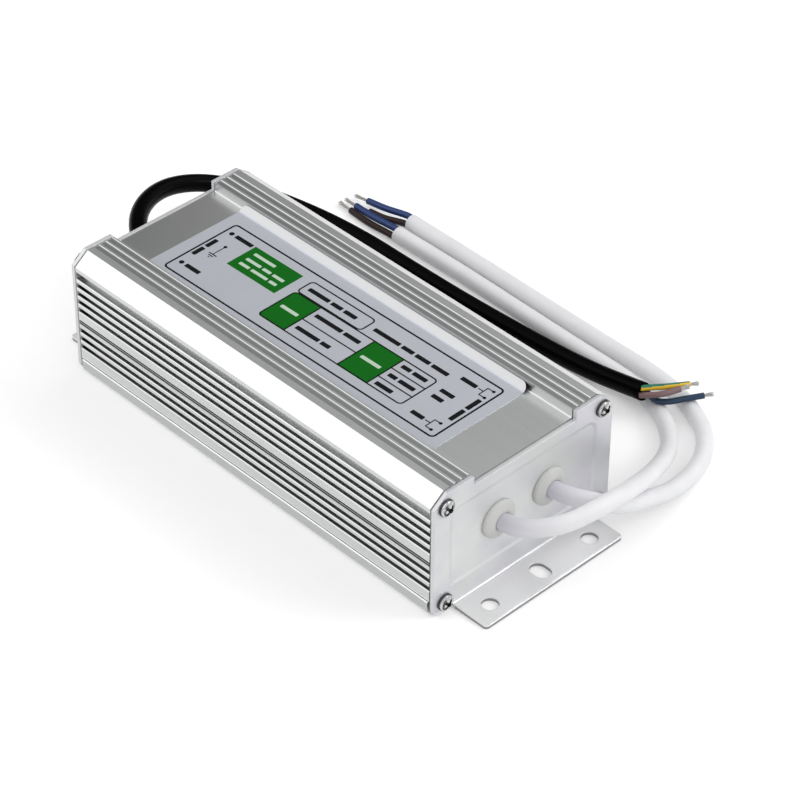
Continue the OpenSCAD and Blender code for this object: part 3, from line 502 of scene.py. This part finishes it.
def drawn_metal(place):
    """Depth is measured inwards from the sides. The grooves carry painted shade, and towards the input
    end a near black painted shadow of the plate. The fine lines and the lower half of the rail slopes
    are painted dark, also painted shade, and the rails are darker. The floor of the channel carries
    painted shade towards the input end and the near wall, and the band along the seam a painted highlight."""
    lines = place.streaks(draw_lines)
    broad = place.streaks(broad_streaks)
    stain = place.noise(38.0, 4.0)
    grain = place.noise(5200.0, 2.0)
    along, across, height = (place.axis(name) for name in "XYZ")
    depth = half_width - abs(across)
    # Painted shade: the grooves between the fins are coloured darker, less so in the top groove.
    in_fins = depth.band(fin_mouth, fin_root) * (1 - height.ramp(*fins_top))
    in_grooves = in_fins * (1 - 0.75 * height.ramp(*top_groove))
    on_rail = depth.band(rail_outside, rail_inside) * height.band(rail_foot, rail_top)
    low_slope = on_rail * height.ramp(*rail_slope)
    fine_lines = height.band(line_low, line_high) * (1 - depth.ramp(*fin_root))
    on_floor = depth.ramp(*floor_side) * (1 - height.ramp(*floor_top))
    # Painted shade: the channel floor is coloured darker towards the input end, most along the near wall.
    floor_shade = on_floor * (1 - along.ramp(*floor_along))
    # Painted highlight: a pale band along the foot of the side walls, just above the seam.
    seam_highlight = (1 - height.ramp(*skirt_top)) * (1 - depth.ramp(*skirt_skin))
    pale = (0.40 * lines + 0.35 * broad + 0.25 * stain).blend((0.60, 0.61, 0.605), (0.71, 0.72, 0.715))
    floor_shade_tone = across.ramp(*floor_across).blend((0.41, 0.417, 0.415), (0.52, 0.522, 0.52))
    # The surface tone; the next lines mix painted shade and a painted highlight into it.
    tone_with_painted_light = floor_shade.blend(on_rail.blend(pale, (0.40, 0.405, 0.405)), floor_shade_tone)
    # Painted shade: the lower half of the rail slopes and the fine lines are coloured dark.
    tone_with_painted_light = (low_slope + 0.7 * fine_lines).blend(tone_with_painted_light, (0.24, 0.245, 0.245))
    tone_with_painted_light = seam_highlight.blend(tone_with_painted_light, grey(0.96))
    groove_shade = depth.ramp(*groove_depth).blend((0.30, 0.305, 0.304), (0.50, 0.51, 0.51))
    # Painted shadow: the grooves go near black towards the input end, where the plate stands over them.
    groove_shade = along.ramp(*groove_end).blend(grey(0.05), groove_shade)
    return {
        "Base Color": in_grooves.blend(tone_with_painted_light, groove_shade),
        "Roughness": 0.20 + 0.14 * lines + 0.08 * stain,
        "Normal": (0.7 * lines + 0.3 * grain).bump(0.016 * MM),
    }


case_aluminium = finish("case_aluminium", {"Metallic": 1.0}, drawn_metal)


def dress(node, material):
    """Gives a CAD node its finish."""
    mesh = nodes[node].data
    mesh.materials.clear()
    mesh.materials.append(material)


dress("housing", case_aluminium)

# Base tray
# The second aluminium extrusion closes the case from below. It is pushed on from the end, and beads
# on its lips snap into the wall. The lip is the plain band under the seam, in a mill finish.
mill_lines = (14.0, 4200.0, 4200.0)
lip_corner, lip_side = edge(4.42, 4.48), edge(34.6, 34.7)


def mill_metal(place):
    """The upper corner of the lip is coloured paler, a painted highlight, and is glossier."""
    lines = place.streaks(mill_lines)
    stain = place.noise(45.0, 4.0)
    # Painted highlight on the upper corner of the lip.
    lip_highlight = place.axis("Z").ramp(*lip_corner) * abs(place.axis("Y")).ramp(*lip_side)
    plain = (0.6 * lines + 0.4 * stain).blend((0.50, 0.51, 0.505), (0.60, 0.61, 0.605))
    return {
        "Base Color": lip_highlight.blend(plain, grey(0.66)),
        "Roughness": 0.30 + 0.14 * lines + 0.08 * stain - 0.16 * lip_highlight,
        "Normal": lines.bump(0.018 * MM),
    }


dress("base_tray", finish("tray_aluminium", {"Metallic": 1.0}, mill_metal))

# Gaskets
# Flat frames cut from grey silicone sheet. The end screws squeeze them between the end plates and
# the cut ends of the case.
silicone = soft_plastic("silicone", grey(0.34), grey(0.38), 0.6)
dress("output_gasket", silicone)
dress("input_gasket", silicone)

# End plates
# Pressed aluminium sheet with a shallow coined panel. The lower edge is bent out into a foot with two
# round holes and a slot. Etched and anodised after pressing, so the face is pale and silky. The foot is
# coloured paler than the plate, and the fold, the rim of the foot and the panel's lower crease paler
# still, all painted highlights; the edges of the foot are coloured darker.
foot_start, foot_end = edge(77.4, 77.8), edge(89.4, 89.6)
sheared_top, fold_top = edge(0.85, 1.00), edge(1.4, 1.7)
crease_low, crease_high = edge(8.0, 8.2), edge(9.0, 9.2)
crease_face, crease_end = edge(76.7, 76.8), edge(28.4, 29.0)
eased_edge = 0.35 * MM


def etched_metal(place):
    """The fold, the rim of the foot and the lower crease of the panel carry painted highlights, and the
    fold and the rim are glossier too. The top of the foot is painted paler than the plate, also a painted
    highlight, and the edges of the foot below its top are coloured darker.
    """
    grain = place.noise(3800.0, 3.0)
    cloud = place.noise(60.0, 4.0)
    out, side, height = (place.axis(name) for name in "XYZ")
    reach = abs(out)
    on_foot = reach.ramp(*foot_start)
    # The edges of the foot below its top are coloured darker.
    darker_foot_edges = on_foot * (1 - height.ramp(*sheared_top))
    rim = reach.ramp(*foot_end) * height.ramp(*sheared_top)
    fold = (1 - on_foot) * (1 - height.ramp(*fold_top))
    crease = height.band(crease_low, crease_high) * (1 - reach.ramp(*crease_face))
    crease = crease * (1 - abs(side).ramp(*crease_end))
    silky = cloud.ramp(0.36, 0.64).blend((0.63, 0.63, 0.665), (0.685, 0.70, 0.69))
    # Painted highlight: the foot is coloured paler than the plate.
    face = on_foot.blend(silky, grey(0.86))
    # Painted highlights: the panel's lower crease, the rim of the foot and the fold are coloured near
    # white.
    face = (0.2 * crease + rim + 0.5 * fold).blend(face, grey(0.97))
    return {
        "Base Color": darker_foot_edges.blend(face, (0.30, 0.30, 0.31)),
        "Roughness": 0.38 + 0.08 * grain + 0.08 * cloud - 0.20 * fold - 0.24 * rim,
        "Normal": grain.bump(0.012 * MM, eased_edge),
    }


plate_aluminium = finish("plate_aluminium", {"Metallic": 0.55}, etched_metal)
dress("output_plate", plate_aluminium)
dress("input_plate", plate_aluminium)

# Screws and washers
# Pan head screws with a cross recess hold the end plates to the case. They are bright nickel plate,
# each over a split spring washer of dull dark steel.
plate_x, washer_t, head_h = 76.7 * MM, 0.6 * MM, 1.5 * MM
screw_y, screw_low, screw_high, screw_middle = 30.75 * MM, 4.1 * MM, 38.5 * MM, 20 * MM
dome_r = 3.6 * MM
dome_x = plate_x + washer_t + head_h - dome_r


def round_edge(low, high):
    """A soft edge at a distance from the screw's axis, squared."""
    return (low * MM) ** 2, (high * MM) ** 2


recess_sunk, recess_reach, recess_middle = edge(0.08, 0.5), round_edge(1.7, 1.8), round_edge(0.7, 0.9)
reflection_inside, reflection_outside, reflection_side = round_edge(1.4, 1.6), round_edge(2.0, 2.2), edge(0.4, 0.9)


def nickel_plate(place):
    """The recess is what lies below the dome of the head. The recess and a disc at the middle are coloured
    near black, a painted shade, and a broken dark ring on one side of the head is a painted reflection.
    """
    scuff = place.noise(2600.0, 4.0)
    out, side, height = (place.axis(name) for name in "XYZ")
    across = abs(side) - screw_y
    up = height - screw_low - (screw_high - screw_low) * (height > screw_middle)
    radius_sq = across * across + up * up
    sunk = dome_x + (dome_r * dome_r - radius_sq).root() - abs(out)
    # Painted shade: the cross recess and a disc at the middle of the head are coloured near black.
    recess = sunk.ramp(*recess_sunk) * (1 - radius_sq.ramp(*recess_reach))
    recess = recess.larger(1 - radius_sq.ramp(*recess_middle))
    aside = side + screw_y - 2 * screw_y * (side > 0)
    # Painted reflection: a broken dark ring on one side of the head.
    ring = radius_sq.band(reflection_inside, reflection_outside)
    dark_reflection = ring * (-1 * aside).ramp(*reflection_side) * place.noise(900.0, 2.0).ramp(0.30, 0.45)
    bright = scuff.blend((0.46, 0.46, 0.465), grey(0.66))
    return {
        "Base Color": recess.larger(0.9 * dark_reflection).blend(bright, grey(0.02)),
        "Roughness": 0.08 + 0.12 * scuff,
        "Normal": scuff.bump(0.008 * MM, 0.2 * MM),
    }


def spring_steel(place):
    scale = place.noise(1500.0, 4.0)
    return {
        "Base Color": scale.blend((0.05, 0.05, 0.055), (0.12, 0.12, 0.125)),
        "Roughness": 0.34 + 0.2 * scale,
    }


screw_nickel = finish("screw_nickel", {"Metallic": 1.0}, nickel_plate)
washer_steel = finish("washer_steel", {"Metallic": 1.0}, spring_steel)
for end_name in ("output", "input"):
    dress(f"{end_name}_screws", screw_nickel)
    dress(f"{end_name}_washers", washer_steel)

# Grommets
# Soft moulded rings snapped into the plates. The flange has a rounded edge, and the lead fills the
# bore.
white_rubber = soft_plastic("white_rubber", (0.60, 0.605, 0.585), (0.54, 0.545, 0.525), 0.5)
black_rubber = soft_plastic("black_rubber", grey(0.02), grey(0.03), 0.5)
output_bore_r, input_bore_r = 2.8, 3.0
grommet_steps = 64


def grommet(name, y, bore, facing, node, material):
    """A turned ring: inner flange, neck in the plate hole and outer flange, spun about the lead."""
    bm = bmesh.new()
    profile = [
        (74.3, bore), (74.3, 4.9), (75.5, 4.9), (75.5, 4.0), (76.45, 4.0), (76.45, 6.1), (76.95, 6.1),
        (77.25, 6.0), (77.5, 5.78), (77.75, 5.43), (78.0, 5.02), (78.25, 4.6), (78.5, 4.12), (78.63, 3.7),
        (78.65, 3.2), (78.5, bore),
    ]
    points = [bm.verts.new((x * MM, 0, r * MM)) for x, r in profile]
    lines = [bm.edges.new((a, b)) for a, b in zip(points, points[1:] + points[:1])]
    bmesh.ops.spin(
        bm, geom=points + lines, cent=(0, 0, 0), axis=(1, 0, 0), angle=math.tau, steps=grommet_steps,
        use_merge=True,
    )
    bmesh.ops.recalc_face_normals(bm, faces=bm.faces)
    bmesh.ops.scale(bm, vec=(facing, facing, 1), verts=bm.verts)
    bmesh.ops.translate(bm, vec=(0, y, entry_z), verts=bm.verts)
    piece = made_piece(name, bm, [material])
    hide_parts(node)


grommet("near_grommet", -output_y, output_bore_r, 1, "output_grommet_near", white_rubber)
grommet("far_grommet", output_y, output_bore_r, 1, "output_grommet_far", white_rubber)
grommet("back_grommet", 0, input_bore_r, -1, "input_grommet", black_rubber)

# Label sheet
# Silver-grey vinyl with rounded corners, stuck on the channel floor. Its far edge was cut too wide, so
# it bends up and leans on the channel wall.
lean_start = edge(40.3, 41.0)


def silver_vinyl(place):
    fleck = place.noise(2200.0, 3.0)
    cloud = place.noise(70.0, 3.0)
    silver = (0.5 * fleck + 0.5 * cloud).blend((0.54, 0.56, 0.61), (0.60, 0.62, 0.67))
    # Painted highlight: the leaning strip is coloured a neutral, slightly paler grey than the flat sheet.
    leaning = place.axis("Z").ramp(*lean_start)
    return {
        "Base Color": leaning.blend(silver, (0.64, 0.64, 0.645)),
        "Roughness": 0.34 + 0.12 * fleck,
        "Normal": fleck.bump(0.006 * MM),
    }


label_vinyl = finish("label_vinyl", {"Metallic": 0.55}, silver_vinyl)
sheet_t = 0.15 * MM
sheet_z = 40.03 * MM
sheet_corner = 2.2 * MM
bend_from = 17.3 * MM
bend_r = 1.5 * MM
bend_angle = math.radians(48)
bend_width = bend_r * bend_angle
bend_steps = 8
lean_width = 2.2 * MM
sheet_low = Vector((-61.8 * MM, -19.0 * MM))
sheet_high = Vector((58.2 * MM, bend_from + bend_width + lean_width))


def flat_rectangle(bm, low, high, corner, segments=6):
    """A flat face between two corners, its own corners rounded. Returns the face."""
    middle, size = (low + high) / 2, high - low
    place = Matrix.Translation((middle.x, middle.y, 0)) @ Matrix.Diagonal((size.x, size.y, 1, 1))
    made = bmesh.ops.create_grid(bm, x_segments=1, y_segments=1, size=0.5, matrix=place)
    if not corner:
        return made["verts"][0].link_faces[0]
    bevelled = bmesh.ops.bevel(
        bm, geom=made["verts"], offset=corner, segments=segments, profile=0.5, affect="VERTICES",
        material=-1,
    )
    return max({f for v in bevelled["verts"] for f in v.link_faces}, key=lambda f: f.calc_area())


bm = bmesh.new()
flat_rectangle(bm, sheet_low, sheet_high, sheet_corner)
for k in range(bend_steps + 1):
    bmesh.ops.bisect_plane(
        bm, geom=bm.verts[:] + bm.edges[:] + bm.faces[:],
        plane_co=(0, bend_from + bend_width * k / bend_steps, 0), plane_no=(0, 1, 0),
    )
for vert in bm.verts:
    over = max(vert.co.y - bend_from, 0)
    angle = min(over / bend_r, bend_angle)
    straight = max(over - bend_width, 0)
    if over:
        vert.co.y = bend_from + bend_r * math.sin(angle) + straight * math.cos(angle)
        vert.co.z = bend_r * (1 - math.cos(angle)) + straight * math.sin(angle)
bmesh.ops.recalc_face_normals(bm, faces=bm.faces)
if sum(f.normal.z for f in bm.faces) < 0:
    bmesh.ops.reverse_faces(bm, faces=bm.faces)
bmesh.ops.translate(bm, vec=(0, 0, sheet_z + sheet_t), verts=bm.verts)
bmesh.ops.solidify(bm, geom=bm.faces[:], thickness=sheet_t)
label = made_piece("label", bm, [label_vinyl])
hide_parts("label_sheet")

# Label print
# Screen-printed ink, a little askew on the sheet: a frame, a ruled table with green fields, rows of
# plain bars, and generic dots and symbols for the connections.
ink_t = 0.03 * MM
askew = Matrix.Rotation(math.radians(0.95), 3, "Z")
print_centre = Vector((-2.0, -0.5, 0)) * MM


def ink(name, colour, shade, specular):
    """Matt ink with a faint speckle."""

    def varying(place):
        speck = place.noise(1800.0, 3.0)
        return {"Base Color": speck.blend(colour, shade), "Roughness": 0.38 + 0.14 * speck}

    return finish(name, {"Specular IOR Level": specular}, varying)


black_ink = ink("black_ink", (0.006, 0.006, 0.008), (0.012, 0.012, 0.014), 0.05)
green_ink = ink("green_ink", (0.001, 0.105, 0.004), (0.002, 0.13, 0.006), 0.12)
pale_ink = ink("pale_ink", (0.42, 0.55, 0.42), (0.5, 0.6, 0.5), 0.5)


def box_of(x0, x1, y0, y1):
    return Vector((x0, y0)) * MM, Vector((x1, y1)) * MM


def ruled_frame(bm, x0, x1, y0, y1, corner, line):
    """A rounded frame line: a face inset by the line's width, with its middle taken out."""
    low, high = box_of(x0, x1, y0, y1)
    face = flat_rectangle(bm, low, high, corner * MM)
    bmesh.ops.inset_region(bm, faces=[face], thickness=line * MM, use_even_offset=True, use_boundary=True)
    bmesh.ops.delete(bm, geom=[face], context="FACES")


def bar(bm, x0, x1, y0, y1, corner=0.0):
    low, high = box_of(x0, x1, y0, y1)
    return flat_rectangle(bm, low, high, corner * MM, segments=3)


def dot(bm, x, y, r):
    place = Matrix.Translation((x * MM, y * MM, 0))
    bmesh.ops.create_circle(bm, cap_ends=True, segments=20, radius=r * MM, matrix=place)


bar_tall, bar_gap, bar_corner = 1.6, 0.9, 0.25


def bar_row(bm, x0, y, lengths, tall=bar_tall):
    """A row of plain bars with rounded corners."""
    for length in lengths:
        bar(bm, x0, x0 + length, y - tall / 2, y + tall / 2, bar_corner)
        x0 += length + bar_gap


def printed(name, bm, material, raised=0.0):
    """Gives flat print its thickness, turns it askew and lays it on the sheet."""
    bmesh.ops.recalc_face_normals(bm, faces=bm.faces)
    for face in bm.faces:
        if face.normal.z < 0:
            face.normal_flip()
    pulled = bmesh.ops.extrude_face_region(bm, geom=bm.faces[:])["geom"]
    top = [g for g in pulled if isinstance(g, bmesh.types.BMVert)]
    bmesh.ops.translate(bm, vec=(0, 0, ink_t), verts=top)
    bmesh.ops.rotate(bm, cent=print_centre, matrix=askew, verts=bm.verts)
    bmesh.ops.translate(bm, vec=(0, 0, sheet_z + sheet_t + raised), verts=bm.verts)
    piece = made_piece(name, bm, [material])


# In millimetres on the sheet, a box is its left, right, near and far side, and then its corner radius
# or the width of its line. A row is its start, its middle, the lengths of its bars, and their height.
green_fields = [
    (-44.8, -24.3, -1.4, 10.4, 0.0), (-20.4, -9.8, -11.3, 3.6, 0.8), (12.7, 24.2, -11.4, 3.7, 0.0),
]
bm = bmesh.new()
for *box, corner in green_fields:
    bar(bm, *box, corner)
printed("label_green", bm, green_ink)

frame_corner = 1.6
frame_lines = [
    (-57.4, 54.6, -15.5, 14.1, 0.62), (-20.7, 38.2, -11.6, 3.9, 0.5), (-20.7, 6.2, 3.9, 10.9, 0.5),
]
table_rules = [
    (-9.95, -9.45, -11.4, 3.7), (12.3, 12.8, -11.4, 3.7), (24.15, 24.65, -11.4, 3.7),
    (-9.7, 12.5, -4.1, -3.65), (24.4, 38.0, -1.75, -1.3), (24.4, 38.0, -6.95, -6.5),
]
black_rows = [
    (-18.6, 7.3, (8.6, 4.4, 5.0)), (8.4, 7.5, (10.5, 4.6, 5.6, 6.4)), (-8.2, 0.0, (11.0, 6.4)),
    (-8.2, -7.7, (9.4, 3.6)), (26.0, 1.2, (3.6, 5.4)), (26.0, -4.1, (3.2, 6.2)), (26.0, -9.3, (6.6,)),
    (41.2, 1.4, (5.2,)), (41.2, -2.0, (4.2,)), (-52.8, 9.7, (7.2,)), (-52.8, -10.4, (6.0,)),
]
upright_bars = [(-55.35, -5.4, -0.9), (-55.35, 0.0, 4.5), (52.3, -6.3, -0.5), (52.3, 0.4, 6.0)]
terminal_dots = [(-54.6, 9.7, 0.85), (-54.6, -10.4, 0.85), (-51.0, 3.8, 0.6)]
bm = bmesh.new()
for *box, line in frame_lines:
    ruled_frame(bm, *box, frame_corner, line)
for box in table_rules:
    bar(bm, *box)
for row in black_rows:
    bar_row(bm, *row)
for x, y0, y1 in upright_bars:
    bar(bm, x - bar_tall / 2, x + bar_tall / 2, y0, y1, bar_corner)
for spot in terminal_dots:
    dot(bm, *spot)

# An earth symbol: a stem with three shrinking bars across its end
earth_x = -51.0
for half, y0, y1 in ((0.17, -1.2, 3.6), (1.6, -1.5, -1.1), (1.0, -2.3, -1.95), (0.4, -3.05, -2.75)):
    bar(bm, earth_x - half, earth_x + half, y0, y1)

# A connection symbol and its bar at the output end: a fork with a dot on both prongs
fork_half, fork_line, fork_dot, fork_gap = 1.9, 0.18, 0.55, 0.6
stem_end, spine_x, prong_start, prong_end = 2.0, 1.98, 1.9, 4.2
for x, y, length in ((48.2, 9.4, 6.0), (47.5, -11.1, 4.8)):
    bar_row(bm, x - fork_gap - length, y, (length,))
    bar(bm, x, x + stem_end, y - fork_line, y + fork_line)
    bar(bm, x + spine_x - fork_line, x + spine_x + fork_line, y - fork_half, y + fork_half)
    for prong_y in (y - fork_half, y + fork_half):
        bar(bm, x + prong_start, x + prong_end, prong_y - fork_line, prong_y + fork_line)
        dot(bm, x + prong_end, prong_y, fork_dot)
printed("label_black", bm, black_ink)

pale_rows = [
    (-42.4, 7.6, (9.0,), 1.2), (-42.4, 4.4, (6.2, 3.4, 4.6), 1.2), (-42.4, 1.6, (4.2, 6.8, 3.0), 1.2),
    (-18.6, -3.9, (7.0,), 1.3), (14.6, -3.9, (7.8,), 1.3),
]
bm = bmesh.new()
for row in pale_rows:
    bar_row(bm, *row)
printed("label_pale", bm, pale_ink, ink_t)

# Circuit inside
# Board, magnetics, capacitors and power parts, sealed in potting compound and out of sight. Each has
# the plain moulded, wound or sintered finish of its kind.
def inner_part(name, colour, shade, rough, metallic=0.0, scale=400.0):
    def varying(place):
        grain = place.noise(scale, 4.0)
        return {
            "Base Color": grain.blend(colour, shade),
            "Roughness": rough + 0.15 * grain,
            "Normal": grain.bump(0.04 * MM),
        }

    return finish(name, {"Metallic": metallic}, varying)


glass_epoxy = inner_part("glass_epoxy", (0.01, 0.09, 0.02), (0.015, 0.12, 0.03), 0.4)
ferrite = inner_part("ferrite", (0.02, 0.02, 0.022), (0.035, 0.035, 0.036), 0.6)
taped_coil = inner_part("taped_coil", (0.52, 0.30, 0.03), (0.60, 0.36, 0.05), 0.35)
coated_ring = inner_part("coated_ring", (0.05, 0.14, 0.05), (0.07, 0.18, 0.07), 0.5)
film_box = inner_part("film_box", (0.55, 0.38, 0.03), (0.60, 0.42, 0.05), 0.45)
ceramic_tube = inner_part("ceramic_tube", (0.52, 0.48, 0.41), (0.58, 0.54, 0.47), 0.5)
moulded_black = inner_part("moulded_black", (0.012, 0.012, 0.013), (0.02, 0.02, 0.02), 0.5)
shrink_sleeve = inner_part("shrink_sleeve", (0.015, 0.02, 0.04), (0.02, 0.025, 0.05), 0.3)
wire_cover = inner_part("wire_cover", (0.02, 0.05, 0.18), (0.03, 0.06, 0.2), 0.4)
spreader_bar = inner_part("spreader_bar", (0.72, 0.72, 0.73), (0.8, 0.8, 0.81), 0.35, metallic=1.0)
cured_potting = inner_part("cured_potting", (0.035, 0.035, 0.037), (0.05, 0.05, 0.05), 0.55, scale=120.0)
for node, material in {
    "circuit_board": glass_epoxy, "transformer_core": ferrite, "transformer_winding": taped_coil,
    "line_choke": coated_ring, "film_capacitor": film_box, "fuse": ceramic_tube,
    "bridge_rectifier": moulded_black, "bulk_capacitor": shrink_sleeve, "switch_transistor": moulded_black,
    "output_rectifier": moulded_black, "heat_spreader": spreader_bar, "output_inductor": taped_coil,
    "output_capacitors": shrink_sleeve, "input_wires": wire_cover, "output_wires": wire_cover,
    "potting": cured_potting,
}.items():
    dress(node, material)

# Studio
# A white paper floor that the camera and the polished faces see as white. A large soft lamp stands
# over the near side, one behind the case and a small one past the output end. The room is pale in
# front and dim at the back, and the flat top of the case mirrors the change.
floor_half, paper_white, paper_glow = 6.0, 0.86, 0.23
bm = bmesh.new()
bmesh.ops.create_grid(bm, x_segments=1, y_segments=1, size=floor_half)
mesh = bpy.data.meshes.new("floor")
bm.to_mesh(mesh)
bm.free()
floor = bpy.data.objects.new("floor", mesh)
scene.collection.objects.link(floor)
paper = bpy.data.materials.new("paper")
paper.use_nodes = True
tree = paper.node_tree
tree.nodes.clear()
rays = tree.nodes.new("ShaderNodeLightPath")
camera_ray = Wire(tree, rays.outputs["Is Camera Ray"])
glossy_ray = Wire(tree, rays.outputs["Is Glossy Ray"])
through_ray = Wire(tree, rays.outputs["Is Transmission Ray"])
seen = camera_ray.larger(glossy_ray.larger(through_ray))
matt = seen.node("ShaderNodeBsdfDiffuse", {}, {"Color": (*grey(paper_white), 1)})
glow = seen.node("ShaderNodeEmission", {}, {"Color": (1, 1, 1, 1), "Strength": seen * paper_glow})
both = seen.node("ShaderNodeAddShader", {}, {0: matt, 1: glow})
tree.links.new(both.socket, tree.nodes.new("ShaderNodeOutputMaterial").inputs["Surface"])
mesh.materials.append(paper)

world = bpy.data.worlds.new("room")
world.use_nodes = True
tree = world.node_tree
sky = Wire(tree, tree.nodes.new("ShaderNodeTexCoord").outputs["Generated"])
front = 0.75 * sky.axis("X") - 0.55 * sky.axis("Y") + 0.36 * sky.axis("Z")
dim_edge, pale_edge = (-0.585, -0.435), (-0.3, 0.8)
back_wall = front.ramp(*dim_edge).blend((0.10, 0.10, 0.102), grey(0.75))
room = front.ramp(*pale_edge).blend(back_wall, grey(0.86))
tree.links.new(room.socket, tree.nodes["Background"].inputs["Color"])
scene.world = world


def soft_lamp(name, place, size, watts):
    """A square lamp that looks at the case."""
    data = bpy.data.lights.new(name, "AREA")
    data.shape = "SQUARE"
    data.size = size
    data.energy = watts
    lamp = bpy.data.objects.new(name, data)
    aim = (-Vector(place)).to_track_quat("-Z", "Y").to_matrix().to_4x4()
    lamp.matrix_world = Matrix.Translation(place) @ aim
    scene.collection.objects.link(lamp)


soft_lamp("key_lamp", (-0.62, -0.51, 0.76), size=1.0, watts=2.8)
soft_lamp("back_lamp", (0.2, 0.95, 0.85), size=0.9, watts=2.2)
soft_lamp("rim_lamp", (0.69, 0.59, 0.62), size=0.4, watts=2.5)

scene.view_settings.view_transform = "Standard"
